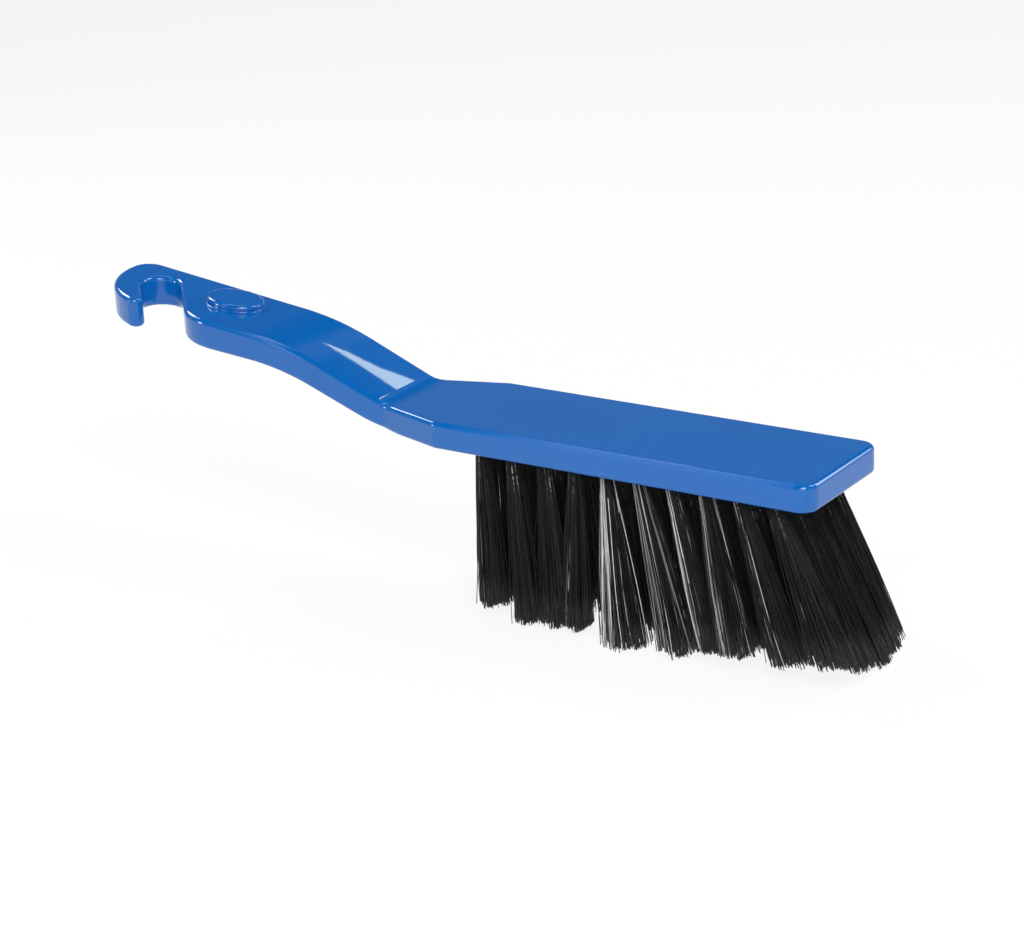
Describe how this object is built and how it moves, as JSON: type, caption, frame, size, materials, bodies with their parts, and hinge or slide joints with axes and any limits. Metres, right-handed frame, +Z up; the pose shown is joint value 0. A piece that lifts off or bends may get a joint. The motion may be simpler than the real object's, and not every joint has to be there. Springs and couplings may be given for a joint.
{
  "type": "hand broom",
  "caption": "Hand broom: a cranked one-piece plastic block and handle with a hanging hook, and fanned rows of black bristle tufts held by anchors in blind holes.",
  "frame": {"origin": "on the surface that the bristle tips stand on, below the middle of the broom's length and width", "axes": "+X along the block towards its front end, away from the handle; +Z up out of the block's top"},
  "size_m": [0.331, 0.0592, 0.0998],
  "materials": {
    "body_plastic": "glossy blue",
    "bristle": "black filament",
    "anchor_metal": "plain strip"
  },
  "bodies": {
    "root": {"moulded_body": "body_plastic", "tuft_anchors": "anchor_metal", "tuft_row_1_01": "bristle", "tuft_row_1_02": "bristle", "tuft_row_1_03": "bristle", "tuft_row_1_04": "bristle", "tuft_row_1_05": "bristle", "tuft_row_1_06": "bristle", "tuft_row_1_07": "bristle", "tuft_row_1_08": "bristle", "tuft_row_1_09": "bristle", "tuft_row_1_10": "bristle", "tuft_row_2_01": "bristle", "tuft_row_2_02": "bristle", "tuft_row_2_03": "bristle", "tuft_row_2_04": "bristle", "tuft_row_2_05": "bristle", "tuft_row_2_06": "bristle", "tuft_row_2_07": "bristle", "tuft_row_2_08": "bristle", "tuft_row_2_09": "bristle", "tuft_row_2_10": "bristle", "tuft_row_3_01": "bristle", "tuft_row_3_02": "bristle", "tuft_row_3_03": "bristle", "tuft_row_3_04": "bristle", "tuft_row_3_05": "bristle", "tuft_row_3_06": "bristle", "tuft_row_3_07": "bristle", "tuft_row_3_08": "bristle", "tuft_row_3_09": "bristle", "tuft_row_3_10": "bristle", "tuft_row_4_01": "bristle", "tuft_row_4_02": "bristle", "tuft_row_4_03": "bristle", "tuft_row_4_04": "bristle", "tuft_row_4_05": "bristle", "tuft_row_4_06": "bristle", "tuft_row_4_07": "bristle", "tuft_row_4_08": "bristle", "tuft_row_4_09": "bristle", "tuft_row_4_10": "bristle", "tuft_row_5_01": "bristle", "tuft_row_5_02": "bristle", "tuft_row_5_03": "bristle", "tuft_row_5_04": "bristle", "tuft_row_5_05": "bristle", "tuft_row_5_06": "bristle", "tuft_row_5_07": "bristle", "tuft_row_5_08": "bristle", "tuft_row_5_09": "bristle", "tuft_row_5_10": "bristle"}
  },
  "joints": []
}
